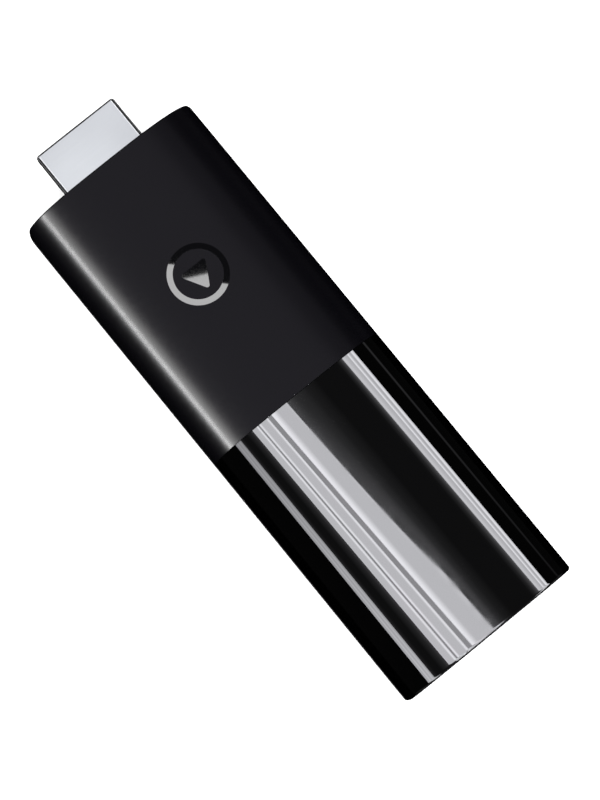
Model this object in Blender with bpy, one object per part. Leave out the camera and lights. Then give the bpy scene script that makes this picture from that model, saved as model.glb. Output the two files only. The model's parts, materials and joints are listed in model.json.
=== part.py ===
"""A stick-shaped streaming media player that plugs straight into a television.

The stick lies on its back: +Z is up through the top cover, +Y points along the stick towards
the video plug, and the origin is the centre of the underside of its bounding box.
Run it with: blender --background --python part.py
"""

import math

import bmesh
import bpy

MM = 0.001

# Driving dimensions of the whole stick
OVERALL_LENGTH = 92.4 * MM
PLUG_REACH = 7.8 * MM
HOUSING_WIDTH = 29.4 * MM
HOUSING_THICKNESS = 15.2 * MM
WALL = 1.4 * MM
GAP = 0.3 * MM  # clearance between neighbouring pieces

# Places that follow from them
Y_TAIL = -OVERALL_LENGTH / 2
Y_TIP = OVERALL_LENGTH / 2
Y_NOSE = Y_TIP - PLUG_REACH
Z_SPLIT = HOUSING_THICKNESS / 2
X_SIDE = HOUSING_WIDTH / 2

# Housing cross-section: one crowned superellipse on top, a flat floor with curved sides below
CROWN_POWER = 3.0
BELLY_POWER = 3.0
FLOOR_HALF_WIDTH = 7.0 * MM
CROWN_STEPS = 40
BELLY_STEPS = 12
END_WALL = 1.6 * MM
CORNER_RADIUS = 0.8 * MM  # at the ends, seen from above
EDGE_RADIUS = 0.3 * MM  # at the ends, seen from the side
END_STEPS = 4

# Video plug, of the standard full size
PLUG_WIDTH = 13.9 * MM
PLUG_HEIGHT = 4.45 * MM
PLUG_SHEET = 0.3 * MM
PLUG_SHOULDER_DROP = 2.3 * MM  # where the straight sides turn in towards the narrow lower side
PLUG_TAPER = 1.6 * MM
PLUG_INSIDE = 10.2 * MM  # length of plug shell that is inside the housing
INSULATOR_SETBACK = 0.8 * MM
SLOT_WIDTH = 9.9 * MM
SLOT_HEIGHT = 2.0 * MM
SOLDER_EAR = (1.2 * MM, 2.6 * MM, 0.3 * MM)  # flat ears that reach back over the board
SOLDER_EAR_X = 7.1 * MM
SOLDER_EAR_OVERLAP = 0.6 * MM  # along the shell's side wall

# Ribs in the covers that hold the plug between them
PLUG_RIB = (9.0 * MM, 1.2 * MM)
PLUG_RIB_Y = Y_NOSE - 7.0 * MM
RIB_ROOT = 0.9 * MM  # how far below the outer surface a rib starts

# Ribs under the lower heat spreader, and the stops that hold the board down
SPREADER_RIB = (1.2 * MM, 10.0 * MM, 1.2 * MM)
SPREADER_RIB_X = 6.0 * MM
SPREADER_RIB_YS = (-14.0 * MM, 14.0 * MM)
BOARD_STOP_RADIUS = 0.8 * MM
BOARD_STOP_X = 9.6 * MM
BOARD_STOP_Y = -8.9 * MM
BOARD_STOP_ROOT = 2.2 * MM  # below the top of the crown, inside the cover's wall

# Contacts: one row on each wall of the plug's slot, with tails that straddle the board's edge
CONTACTS_UPPER = 10
CONTACTS_LOWER = 9
CONTACT_PITCH = 1.0 * MM
CONTACT_WIDTH = 0.45 * MM
CONTACT_THICKNESS = 0.25 * MM
CONTACT_CLEARANCE = 0.1 * MM  # to the wall of the slot
CONTACT_SETBACK = 1.2 * MM  # from the front of the insulator
CONTACT_TAIL = 1.4 * MM  # over the board

# Main board
BOARD_THICKNESS = 1.0 * MM
BOARD_HALF_WIDTH = 11.5 * MM
BOARD_REAR = Y_TAIL + 3.0 * MM
BOARD_FRONT = Y_NOSE - PLUG_INSIDE - GAP
BOARD_TOP = Z_SPLIT + BOARD_THICKNESS / 2
BOARD_UNDER = Z_SPLIT - BOARD_THICKNESS / 2
BOARD_CORNER = 1.0 * MM

# Power socket, sunk into a notch in the board's edge
SOCKET_Y = Y_TAIL + 20.2 * MM
SOCKET_WIDTH = 7.5 * MM
SOCKET_HEIGHT = 2.5 * MM
SOCKET_TAPER = 0.9 * MM
SOCKET_MOUTH = X_SIDE - 0.5 * MM
SOCKET_DEPTH = 5.6 * MM
SOCKET_SHEET = 0.3 * MM
SOCKET_TONGUE = (4.4 * MM, 3.7 * MM, 0.6 * MM)
SOCKET_BASE_DEPTH = 1.0 * MM
SOCKET_WING = (1.6 * MM, 1.5 * MM, SOCKET_SHEET)  # flat wings that reach over the board
SOCKET_WING_X = 1.4 * MM  # from the back of the shell
SOCKET_WING_REACH = 0.6 * MM

# Status light
PIPE_Y = SOCKET_Y + 7.4 * MM
PIPE_Z = BOARD_TOP + 0.9 * MM
PIPE_RADIUS = 0.6 * MM
PIPE_INNER_END = BOARD_HALF_WIDTH + 0.1 * MM
PIPE_SETBACK = 0.25 * MM  # of the outer face, from the housing's side
PIPE_CHAMFER = 0.1 * MM
PIPE_FLANGE_RADIUS = 1.0 * MM
PIPE_FLANGE = (0.7 * MM, 1.2 * MM)  # from the inner end
LED_SIZE = (1.2 * MM, 1.8 * MM, 0.9 * MM)
LED_INSET = 1.0 * MM  # from the board's edge
LED_ROUNDING = 0.1 * MM

# Screws and the posts that they go into
SCREW_X = 9.4 * MM
SCREW_Y = BOARD_REAR + 7.7 * MM
SCREW_SHANK_RADIUS = 0.8 * MM
SCREW_HEAD_RADIUS = 1.5 * MM
SCREW_HEAD_HEIGHT = 1.0 * MM
SCREW_HEAD_DOME = 0.35 * MM
SCREW_LENGTH = 5.0 * MM
SCREW_TIP = (0.25 * MM, 0.7 * MM)  # radius at the end, and length
RECESS_ARM = (1.7 * MM, 0.36 * MM, 0.6 * MM)
POST_RADIUS = 1.7 * MM
POST_FOOT = 1.1 * MM
PILOT_FOOT = 2.4 * MM

# Snap hooks on the top cover, and the ledges under which they catch
HOOK_YS = (14.0 * MM, -11.5 * MM)
HOOK_WIDTH = 4.0 * MM
HOOK_ARM_X = (11.9 * MM, 12.4 * MM)
HOOK_BARB_X = 12.9 * MM
HOOK_ROOT_X = 13.7 * MM
HOOK_ROOT_Z = (Z_SPLIT + 0.6 * MM, Z_SPLIT + 2.4 * MM)
HOOK_BARB_EDGE = 0.3 * MM
HOOK_FOOT = Z_SPLIT - 2.3 * MM
HOOK_BARB_TOP = Z_SPLIT - 1.4 * MM
LEDGE_X = 12.65 * MM
LEDGE_DEPTH = 1.0 * MM
LEDGE_Z = (Z_SPLIT - 1.1 * MM, Z_SPLIT - 0.5 * MM)

# Shield cans, on both sides of the board
SHIELD_HALF_WIDTH = 10.6 * MM
SHIELD_YS = (-7.0 * MM, 21.0 * MM)
SHIELD_FRAME_HEIGHT = 1.7 * MM
SHIELD_SHEET = 0.3 * MM
SHIELD_LIP = 0.9 * MM
SHIELD_CORNER = 0.8 * MM
SHIELD_INNER_CORNER = 0.5 * MM
LID_SHEET = 0.25 * MM
LID_SKIRT = 1.4 * MM

# Heat path: chip, pad, lid, pad, spreader
CHIP_HEIGHT = 0.9 * MM
CHIP_PAD = (11.0 * MM, 11.0 * MM)
CHIP_PAD_HEIGHT = 0.5 * MM
LID_PAD = (14.0 * MM, 22.0 * MM)
LID_PAD_HEIGHT = 0.8 * MM
PAD_CORNER = 0.6 * MM
SPREADER_SHEET = 0.6 * MM
UPPER_SPREADER = (15.6 * MM, 44.0 * MM)
LOWER_SPREADER = (19.0 * MM, 48.0 * MM)
SPREADER_Y = 0.0
SPREADER_CORNER = 1.5 * MM

# (width, length, height), (x, y) of the chips and small parts on the board, in millimetres
SOC = ((12.0, 12.0, 0.9), (0.0, 13.4))
MEMORY = ((7.5, 13.3, 0.9), (4.9, 0.2))
STORAGE = ((11.5, 13.0, 0.9), (0.0, 12.0))
POWER_CHIP = ((4.0, 4.0, 0.8), (-5.6, 0.6))
WIRELESS = ((12.0, 12.2, 1.0), (-4.6, -26.0))
REGULATOR = ((2.9, 1.6, 1.1), (6.2, (-11.2, -15.0)))
INDUCTOR = ((4.0, 4.0, 2.0), ((-8.4, -12.6), (-3.6, -12.6), (1.2, -12.6)))
BULK_CAPACITOR = ((3.5, 2.8, 1.9), (-6.0, (-12.0, -16.2)))
SYSTEM_CRYSTAL = ((3.2, 2.5, 0.8), (8.0, 14.0))
SURGE_ARRAY = ((2.5, 1.0, 0.6), (0.0, 24.4))
FUSE = ((3.2, 1.6, 0.8), (5.6, -29.6))
WIRELESS_CAN_MARGIN = 1.0
WIRELESS_CAN_HEIGHT = 1.4

# Stamped antennas at the tail
ANTENNA_LENGTH = 8.8 * MM
ANTENNA_STRIP = 1.4 * MM
ANTENNA_SHEET = 0.3 * MM
ANTENNA_HEIGHT = 2.6 * MM
ANTENNA_X = 5.6 * MM
ANTENNA_Y = BOARD_REAR + 2.2 * MM
ANTENNA_LEG = 0.8 * MM
ANTENNA_LEG_INSET = 0.6 * MM  # of the ground leg, from the strip's end
ANTENNA_FEED_SHIFT = 2.4 * MM  # of the feed leg, from the ground leg

ROUND_STEPS = 20


def clear_scene():
    for old in list(bpy.data.objects):
        bpy.data.objects.remove(old, do_unlink=True)


def material(name, colour, roughness, metallic=0.0):
    made = bpy.data.materials.new(name)
    made.use_nodes = True
    shader = made.node_tree.nodes["Principled BSDF"]
    shader.inputs["Base Color"].default_value = (*colour, 1.0)
    shader.inputs["Roughness"].default_value = roughness
    shader.inputs["Metallic"].default_value = metallic
    made.diffuse_color = (*colour, 1.0)
    return made


def assembly(name, parent=None):
    """An empty that holds a group of pieces together."""
    empty = bpy.data.objects.new(name, None)
    bpy.context.scene.collection.objects.link(empty)
    empty.parent = parent
    return empty


def add_object(name, mesh_data, parent=None, finish=None, location=(0, 0, 0)):
    """An object of its own; its name becomes the piece's name."""
    made = bpy.data.objects.new(name, mesh_data)
    bpy.context.scene.collection.objects.link(made)
    made.parent = parent
    made.location = location
    if finish:
        made.data.materials.append(finish)
    return made


def helper(name, mesh_data, location=(0, 0, 0)):
    """A shape that only cuts or joins others."""
    made = add_object(name, mesh_data, location=location)
    made.hide_render = True
    made.display_type = "WIRE"
    return made


def loft(name, rings):
    """A closed solid through rings of points, with flat caps on the first and last ring."""
    shape = bmesh.new()
    rows = [[shape.verts.new(point) for point in ring] for ring in rings]
    for row, following in zip(rows, rows[1:]):
        for i in range(len(row)):
            j = (i + 1) % len(row)
            shape.faces.new((row[i], row[j], following[j], following[i]))
    shape.faces.new(rows[0])
    shape.faces.new(rows[-1])
    bmesh.ops.recalc_face_normals(shape, faces=shape.faces)
    mesh_data = bpy.data.meshes.new(name)
    shape.to_mesh(mesh_data)
    shape.free()
    return mesh_data


def prism(name, outline, depth, axis):
    """An outline of two-dimensional points, pushed along an axis from 0 to depth."""

    def lifted(point, along):
        u, v = point
        return {"X": (along, u, v), "Y": (u, along, v), "Z": (u, v, along)}[axis]

    return loft(name, [[lifted(point, along) for point in outline] for along in (0.0, depth)])


def block(name, size):
    """A box that stands on its own origin."""
    width, length, height = size
    return prism(name, rounded_rectangle(width, length, 0.0), height, "Z")


def rounded_rectangle(width, height, radius, steps=4):
    """Corner by corner, counter-clockwise; a radius of 0 gives the four plain corners."""
    if radius == 0:
        w, h = width / 2, height / 2
        return [(w, -h), (w, h), (-w, h), (-w, -h)]
    points = []
    for corner, (sx, sy) in enumerate(((1, 1), (-1, 1), (-1, -1), (1, -1))):
        centre = (sx * (width / 2 - radius), sy * (height / 2 - radius))
        for step in range(steps + 1):
            angle = math.radians(90 * (corner + step / steps))
            points.append((centre[0] + radius * math.cos(angle), centre[1] + radius * math.sin(angle)))
    return points


def turned(name, profile, axis="Z", steps=ROUND_STEPS):
    """A solid of revolution through (radius, place along the axis) points."""
    rings = []
    for radius, along in profile:
        ring = []
        for step in range(steps):
            angle = 2 * math.pi * step / steps
            u, v = radius * math.cos(angle), radius * math.sin(angle)
            ring.append((along, u, v) if axis == "X" else (u, v, along))
        rings.append(ring)
    return loft(name, rings)


def combine(target, other, operation="DIFFERENCE"):
    modifier = target.modifiers.new(f"{operation.lower()}_{other.name}", "BOOLEAN")
    modifier.operation = operation
    modifier.solver = "EXACT"
    modifier.object = other


def soften(target, width, segments=2, angle=40):
    modifier = target.modifiers.new("edge_rounding", "BEVEL")
    modifier.width = width
    modifier.segments = segments
    modifier.limit_method = "ANGLE"
    modifier.angle_limit = math.radians(angle)


def shade(target, angle=35):
    target.data.shade_smooth()
    target.data.set_sharp_from_angle(angle=math.radians(angle))


def quarter_rounding(radius, depth):
    """How far a rounded edge has drawn in at a depth from the end face."""
    if depth >= radius:
        return 0.0
    return radius - math.sqrt(radius**2 - (radius - depth) ** 2)


def housing_section(y, wall=0.0, side_inset=0.0, edge_inset=0.0):
    """One ring of the housing at y; wall moves it inwards, for the cavity."""
    half_width = X_SIDE - wall - side_inset
    rise = HOUSING_THICKNESS - Z_SPLIT - wall - edge_inset
    drop = Z_SPLIT - wall - edge_inset
    belly_half_width = half_width - FLOOR_HALF_WIDTH
    ring = []
    for step in range(CROWN_STEPS + 1):
        angle = math.pi * step / CROWN_STEPS
        across = math.cos(angle)
        x = math.copysign(half_width * abs(across) ** (2 / CROWN_POWER), across)
        ring.append((x, y, Z_SPLIT + rise * math.sin(angle) ** (2 / CROWN_POWER)))
    for side in (-1, 1):
        corner = []
        for step in range(1, BELLY_STEPS + 1):
            angle = math.pi / 2 * step / BELLY_STEPS
            x = side * (FLOOR_HALF_WIDTH + belly_half_width * math.cos(angle) ** (2 / BELLY_POWER))
            corner.append((x, y, Z_SPLIT - drop * math.sin(angle) ** (2 / BELLY_POWER)))
        ring += corner if side < 0 else reversed(corner)
    return ring


def housing_block(name):
    """The housing's full outer form, with rounded ends."""
    rings = []
    for end, inwards in ((Y_TAIL, 1), (Y_NOSE, -1)):
        rows = []
        for step in range(END_STEPS + 1):
            depth = CORNER_RADIUS * (1 - math.cos(math.pi / 2 * step / END_STEPS))
            side = quarter_rounding(CORNER_RADIUS, depth)
            edge = quarter_rounding(EDGE_RADIUS, depth)
            rows.append(housing_section(end + inwards * depth, side_inset=side, edge_inset=edge))
        rings += rows if inwards > 0 else reversed(rows)
    return loft(name, rings)


def housing_cavity(name):
    ends = (Y_TAIL + END_WALL, Y_NOSE - END_WALL)
    return loft(name, [housing_section(y, wall=WALL) for y in ends])


def connector_outline(width, height, shoulder, taper, inset=0.0):
    """A connector's front outline: wide and square-cornered on top, tapered in below."""
    w, top, bottom = width / 2 - inset, height / 2 - inset, -height / 2 + inset
    turn = height / 2 - shoulder
    foot = w - taper
    return [(w, turn), (w, top), (-w, top), (-w, turn), (-foot, bottom), (foot, bottom)]


def plug_outline(inset=0.0):
    return connector_outline(PLUG_WIDTH, PLUG_HEIGHT, PLUG_SHOULDER_DROP, PLUG_TAPER, inset)


def socket_outline(inset=0.0):
    return connector_outline(SOCKET_WIDTH, SOCKET_HEIGHT, SOCKET_HEIGHT / 2, SOCKET_TAPER, inset)


def port_cutters():
    """The openings in the housing for the plug, the power socket and the light pipe."""
    through = 4 * WALL
    plug = helper("plug_opening", prism("plug_opening", plug_outline(-GAP), through, "Y"))
    plug.location = (0, Y_NOSE - through / 2, Z_SPLIT)
    socket = helper("socket_opening", prism("socket_opening", socket_outline(-GAP), through, "X"))
    socket.location = (X_SIDE - through / 2, SOCKET_Y, Z_SPLIT)
    pipe_bore = [(PIPE_RADIUS + GAP, 0.0), (PIPE_RADIUS + GAP, through)]
    pipe = helper("pipe_opening", turned("pipe_opening", pipe_bore, "X"))
    pipe.location = (X_SIDE - through / 2, PIPE_Y, PIPE_Z)
    return plug, socket, pipe


def half_space(name, above):
    """A block that covers everything above or below the split between the covers."""
    size = (2 * HOUSING_WIDTH, 2 * OVERALL_LENGTH, HOUSING_THICKNESS)
    half = helper(name, block(name, size))
    half.location.z = Z_SPLIT - GAP / 2 if above else Z_SPLIT + GAP / 2 - HOUSING_THICKNESS
    return half


def hook_shape(name, side):
    """A cantilever that hangs below the split, with a barb facing the wall and a root in the wall."""
    arm_in, arm_out = (side * x for x in HOOK_ARM_X)
    root_foot, root_top = HOOK_ROOT_Z
    outline = [
        (arm_in, HOOK_FOOT),
        (arm_out, HOOK_FOOT),
        (side * HOOK_BARB_X, HOOK_BARB_TOP - HOOK_BARB_EDGE),
        (side * HOOK_BARB_X, HOOK_BARB_TOP),
        (arm_out, HOOK_BARB_TOP),
        (arm_out, root_foot),
        (side * HOOK_ROOT_X, root_foot),
        (side * HOOK_ROOT_X, root_top),
        (arm_in, root_top),
    ]
    return prism(name, outline, HOOK_WIDTH, "Y")


def plug_rib(name, low, high):
    """A cross rib that stops just short of the plug shell."""
    return helper(name, block(name, (*PLUG_RIB, high - low)), (0, PLUG_RIB_Y, low))


def build_top_cover(parent, finish, cavity, cutters):
    cover = add_object("top_cover", housing_block("top_cover"), parent, finish)
    combine(cover, cavity)
    combine(cover, half_space("below_split", above=False))
    for side in (-1, 1):
        for i, y in enumerate(HOOK_YS):
            name = f"hook_{'left' if side < 0 else 'right'}_{i + 1}"
            hook = helper(name, hook_shape(name, side), (0, y - HOOK_WIDTH / 2, 0))
            combine(cover, hook, "UNION")
        stop_ends = (BOARD_TOP + GAP, HOUSING_THICKNESS - BOARD_STOP_ROOT)
        stop_profile = [(BOARD_STOP_RADIUS, z) for z in stop_ends]
        name = f"board_stop_{'left' if side < 0 else 'right'}"
        stop = helper(name, turned(name, stop_profile, steps=12), (side * BOARD_STOP_X, BOARD_STOP_Y, 0))
        combine(cover, stop, "UNION")
    plug_top = Z_SPLIT + PLUG_HEIGHT / 2
    combine(cover, plug_rib("plug_clamp", plug_top + GAP, HOUSING_THICKNESS - RIB_ROOT), "UNION")
    for cutter in cutters:
        combine(cover, cutter)
    shade(cover, 25)


def build_bottom_cover(parent, finish, cavity, cutters):
    cover = add_object("bottom_cover", housing_block("bottom_cover"), parent, finish)
    combine(cover, cavity)
    combine(cover, half_space("above_split", above=True))
    for side in (-1, 1):
        word = "left" if side < 0 else "right"
        tube = [(POST_RADIUS, POST_FOOT), (POST_RADIUS, BOARD_UNDER - GAP)]
        post = helper(f"post_{word}", turned(f"post_{word}", tube), (side * SCREW_X, SCREW_Y, 0))
        combine(cover, post, "UNION")
        bore = [(SCREW_SHANK_RADIUS + GAP, z) for z in (PILOT_FOOT, Z_SPLIT)]
        pilot = helper(f"pilot_{word}", turned(f"pilot_{word}", bore), (side * SCREW_X, SCREW_Y, 0))
        combine(cover, pilot)
        for i, y in enumerate(HOOK_YS):
            name = f"ledge_{word}_{i + 1}"
            ledge = block(name, (LEDGE_DEPTH, HOOK_WIDTH, LEDGE_Z[1] - LEDGE_Z[0]))
            place = (side * (LEDGE_X + LEDGE_DEPTH / 2), y, LEDGE_Z[0])
            combine(cover, helper(name, ledge, place), "UNION")
        for i, y in enumerate(SPREADER_RIB_YS):
            name = f"spreader_rib_{word}_{i + 1}"
            place = (side * SPREADER_RIB_X, y, RIB_ROOT)
            combine(cover, helper(name, block(name, SPREADER_RIB), place), "UNION")
    plug_under = Z_SPLIT - PLUG_HEIGHT / 2
    combine(cover, plug_rib("plug_cradle", RIB_ROOT, plug_under - GAP), "UNION")
    for cutter in cutters:
        combine(cover, cutter)
    shade(cover, 25)


def build_plug(parent, steel, plastic):
    length = PLUG_REACH + PLUG_INSIDE
    place = (0, Y_TIP - length, Z_SPLIT)
    shell_mesh = prism("video_plug_shell", plug_outline(), length, "Y")
    shell = add_object("video_plug_shell", shell_mesh, parent, steel, place)
    bore = helper("plug_bore", prism("plug_bore", plug_outline(PLUG_SHEET), 2 * length, "Y"))
    bore.location = (0, Y_TIP - 1.5 * length, Z_SPLIT)
    combine(shell, bore)
    for side in (-1, 1):
        name = f"solder_ear_{'left' if side < 0 else 'right'}"
        y = place[1] + SOLDER_EAR_OVERLAP - SOLDER_EAR[1] / 2
        ear = helper(name, block(name, SOLDER_EAR), (side * SOLDER_EAR_X, y, BOARD_TOP + GAP))
        combine(shell, ear, "UNION")

    core_length = length - INSULATOR_SETBACK - GAP
    core_mesh = prism("video_plug_insulator", plug_outline(PLUG_SHEET + GAP), core_length, "Y")
    core = add_object("video_plug_insulator", core_mesh, parent, plastic)
    core.location = (0, place[1] + GAP, Z_SPLIT)
    slot = helper("tongue_slot", block("tongue_slot", (SLOT_WIDTH, 2 * length, SLOT_HEIGHT)))
    slot.location = (0, Y_TIP - length / 2, Z_SPLIT - SLOT_HEIGHT / 2)
    combine(core, slot)


def build_contacts(parent, gold):
    """Nineteen strips: the upper row and the lower row are half a pitch apart."""
    front = Y_TIP - INSULATOR_SETBACK - CONTACT_SETBACK
    length = front - (BOARD_FRONT - CONTACT_TAIL)
    lift = SLOT_HEIGHT / 2 - CONTACT_CLEARANCE - CONTACT_THICKNESS / 2
    number = 0
    for facing, count in ((1, CONTACTS_UPPER), (-1, CONTACTS_LOWER)):
        for i in range(count):
            number += 1
            name = f"video_contact_{number:02d}"
            strip = block(name, (CONTACT_WIDTH, length, CONTACT_THICKNESS))
            x = (i - (count - 1) / 2) * CONTACT_PITCH
            z = Z_SPLIT + facing * lift - CONTACT_THICKNESS / 2
            add_object(name, strip, parent, gold, (x, front - length / 2, z))


def build_board(parent, finish):
    length = BOARD_FRONT - BOARD_REAR
    outline = rounded_rectangle(2 * BOARD_HALF_WIDTH, length, BOARD_CORNER)
    board = add_object("main_board", prism("main_board", outline, BOARD_THICKNESS, "Z"), parent, finish)
    board.location = (0, (BOARD_REAR + BOARD_FRONT) / 2, BOARD_UNDER)
    notch_reach = 2 * (BOARD_HALF_WIDTH - (SOCKET_MOUTH - SOCKET_DEPTH - GAP))
    through = 3 * BOARD_THICKNESS
    notch_size = (notch_reach, SOCKET_WIDTH + 2 * GAP, through)
    notch = helper("socket_notch", block("socket_notch", notch_size))
    notch.location = (BOARD_HALF_WIDTH, SOCKET_Y, Z_SPLIT - through / 2)
    combine(board, notch)
    for side in (-1, 1):
        name = f"board_hole_{'left' if side < 0 else 'right'}"
        bore = [(SCREW_SHANK_RADIUS + GAP, z) for z in (0.0, through)]
        place = (side * SCREW_X, SCREW_Y, Z_SPLIT - through / 2)
        combine(board, helper(name, turned(name, bore), place))


def build_power_socket(parent, steel, plastic):
    back = SOCKET_MOUTH - SOCKET_DEPTH
    place = (back, SOCKET_Y, Z_SPLIT)
    shell_mesh = prism("power_socket_shell", socket_outline(), SOCKET_DEPTH, "X")
    shell = add_object("power_socket_shell", shell_mesh, parent, steel, place)
    bore = helper("socket_bore", prism("socket_bore", socket_outline(SOCKET_SHEET), 2 * SOCKET_DEPTH, "X"))
    bore.location = (back - SOCKET_DEPTH / 2, SOCKET_Y, Z_SPLIT)
    combine(shell, bore)
    for side in (-1, 1):
        name = f"socket_wing_{'rear' if side < 0 else 'front'}"
        y = SOCKET_Y + side * (SOCKET_WIDTH / 2 + SOCKET_WING_REACH)
        wing_place = (back + SOCKET_WING_X, y, BOARD_TOP + GAP)
        combine(shell, helper(name, block(name, SOCKET_WING), wing_place), "UNION")

    tongue_place = (back + GAP + SOCKET_TONGUE[0] / 2, SOCKET_Y, Z_SPLIT)
    tongue_mesh = block("power_socket_tongue", SOCKET_TONGUE)
    tongue = add_object("power_socket_tongue", tongue_mesh, parent, plastic, tongue_place)
    base_mesh = prism("socket_base", socket_outline(SOCKET_SHEET + GAP), SOCKET_BASE_DEPTH, "X")
    base = helper("socket_base", base_mesh, (back + GAP, SOCKET_Y, Z_SPLIT))
    combine(tongue, base, "UNION")


def build_status_light(parent, clear, lamp):
    led = add_object("status_led", block("status_led", LED_SIZE), parent, lamp)
    led.location = (BOARD_HALF_WIDTH - LED_INSET, PIPE_Y, BOARD_TOP + GAP)
    soften(led, LED_ROUNDING, 1)
    reach = X_SIDE - PIPE_SETBACK - PIPE_INNER_END
    profile = [
        (PIPE_RADIUS, 0.0),
        (PIPE_RADIUS, PIPE_FLANGE[0]),
        (PIPE_FLANGE_RADIUS, PIPE_FLANGE[0]),
        (PIPE_FLANGE_RADIUS, PIPE_FLANGE[1]),
        (PIPE_RADIUS, PIPE_FLANGE[1]),
        (PIPE_RADIUS, reach - PIPE_CHAMFER),
        (PIPE_RADIUS - PIPE_CHAMFER, reach),
    ]
    pipe = add_object("light_pipe", turned("light_pipe", profile, "X", 16), parent, clear)
    pipe.location = (PIPE_INNER_END, PIPE_Y, PIPE_Z)
    shade(pipe)


def build_screws(parent, steel):
    """Two pan-head screws with a cross recess."""
    tip_radius, tip_length = SCREW_TIP
    profile = [
        (tip_radius, -SCREW_LENGTH),
        (SCREW_SHANK_RADIUS, -SCREW_LENGTH + tip_length),
        (SCREW_SHANK_RADIUS, 0.0),
        (SCREW_HEAD_RADIUS, 0.0),
        (SCREW_HEAD_RADIUS, SCREW_HEAD_HEIGHT - SCREW_HEAD_DOME),
        (SCREW_HEAD_RADIUS - SCREW_HEAD_DOME, SCREW_HEAD_HEIGHT),
    ]
    for side in (-1, 1):
        name = f"board_screw_{'left' if side < 0 else 'right'}"
        place = (side * SCREW_X, SCREW_Y, BOARD_TOP + GAP)
        screw = add_object(name, turned(name, profile, steps=16), parent, steel, place)
        for turn in (0, 90):
            arm = helper(f"{name}_recess_{turn}", block(name, RECESS_ARM))
            arm.location = (place[0], place[1], place[2] + SCREW_HEAD_HEIGHT - RECESS_ARM[2] / 2)
            arm.rotation_euler.z = math.radians(turn)
            combine(screw, arm)
        shade(screw)


def shield_box(name, height, inset, window_inset):
    """A bottomless can with a window in its roof, open below, standing on z = 0."""
    width = 2 * (SHIELD_HALF_WIDTH - inset)
    length = SHIELD_YS[1] - SHIELD_YS[0] - 2 * inset
    outline = rounded_rectangle(width, length, SHIELD_CORNER, 3)
    can = prism(name, outline, height, "Z")
    sheet = SHIELD_SHEET
    inner = rounded_rectangle(width - 2 * sheet, length - 2 * sheet, SHIELD_INNER_CORNER, 3)
    hollow = helper(f"{name}_hollow", prism(f"{name}_hollow", inner, height, "Z"))
    cutters = [(hollow, -sheet)]
    if window_inset:
        open_width, open_length = width - 2 * window_inset, length - 2 * window_inset
        window = rounded_rectangle(open_width, open_length, SHIELD_INNER_CORNER, 3)
        opening = helper(f"{name}_window", prism(f"{name}_window", window, 3 * height, "Z"))
        cutters.append((opening, -height))
    return can, cutters


def build_shield(parent, name, finish, facing, height, inset, window_inset, foot):
    """A can on the board's top (facing 1) or underside (facing -1); foot is its distance from the board."""
    mesh_data, cutters = shield_box(name, height, inset, window_inset)
    middle = (SHIELD_YS[0] + SHIELD_YS[1]) / 2
    surface = BOARD_TOP if facing > 0 else BOARD_UNDER
    can = add_object(name, mesh_data, parent, finish, (0, middle, surface + facing * foot))
    turn = 0.0 if facing > 0 else math.pi
    can.rotation_euler.y = turn
    for cutter, lift in cutters:
        cutter.location = (0, middle, surface + facing * (foot + lift))
        cutter.rotation_euler.y = turn
        combine(can, cutter)


def build_heat_path(parent, finishes):
    """Shield cans, pads and spreaders, mirrored on the two sides of the board."""
    lid_under = GAP + SHIELD_FRAME_HEIGHT + GAP
    lid_top = lid_under + LID_SHEET
    middle = (SHIELD_YS[0] + SHIELD_YS[1]) / 2
    sides = (("upper", 1, UPPER_SPREADER, SOC), ("lower", -1, LOWER_SPREADER, STORAGE))
    for word, facing, plan, chip in sides:
        surface = BOARD_TOP if facing > 0 else BOARD_UNDER
        build_shield(
            parent, f"{word}_shield_frame", finishes["tin"], facing, SHIELD_FRAME_HEIGHT, 0.0, SHIELD_LIP, GAP
        )
        skirt_foot = lid_top - LID_SKIRT
        lid_spread = -(GAP + SHIELD_SHEET)
        build_shield(
            parent, f"{word}_shield_lid", finishes["tin"], facing, LID_SKIRT, lid_spread, 0.0, skirt_foot
        )
        chip_top = GAP + CHIP_HEIGHT
        pads = (
            (f"{word}_chip_pad", CHIP_PAD_HEIGHT, chip_top + GAP, chip[1][1] * MM, CHIP_PAD),
            (f"{word}_lid_pad", LID_PAD_HEIGHT, lid_top + GAP, middle, LID_PAD),
        )
        for name, height, lift, y, plan_size in pads:
            pad_mesh = prism(name, rounded_rectangle(*plan_size, PAD_CORNER, 2), height, "Z")
            pad = add_object(name, pad_mesh, parent, finishes["pad"])
            low = surface + lift if facing > 0 else surface - lift - height
            pad.location = (0, y, low)
        name = f"{word}_heat_spreader"
        outline = rounded_rectangle(*plan, SPREADER_CORNER)
        plate = add_object(name, prism(name, outline, SPREADER_SHEET, "Z"), parent, finishes["aluminium"])
        lift = lid_top + GAP + LID_PAD_HEIGHT + GAP
        low = surface + lift if facing > 0 else surface - lift - SPREADER_SHEET
        plate.location = (0, SPREADER_Y, low)


def build_component(name, size, x, y, parent, finish, under=False, rounding=0.12):
    """A small part soldered to the board's top, or to its underside; sizes and places in millimetres."""
    made = add_object(name, block(name, [side * MM for side in size]), parent, finish)
    z = BOARD_UNDER - GAP - size[2] * MM if under else BOARD_TOP + GAP
    made.location = (x * MM, y * MM, z)
    soften(made, rounding * MM, 1)
    return made


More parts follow.
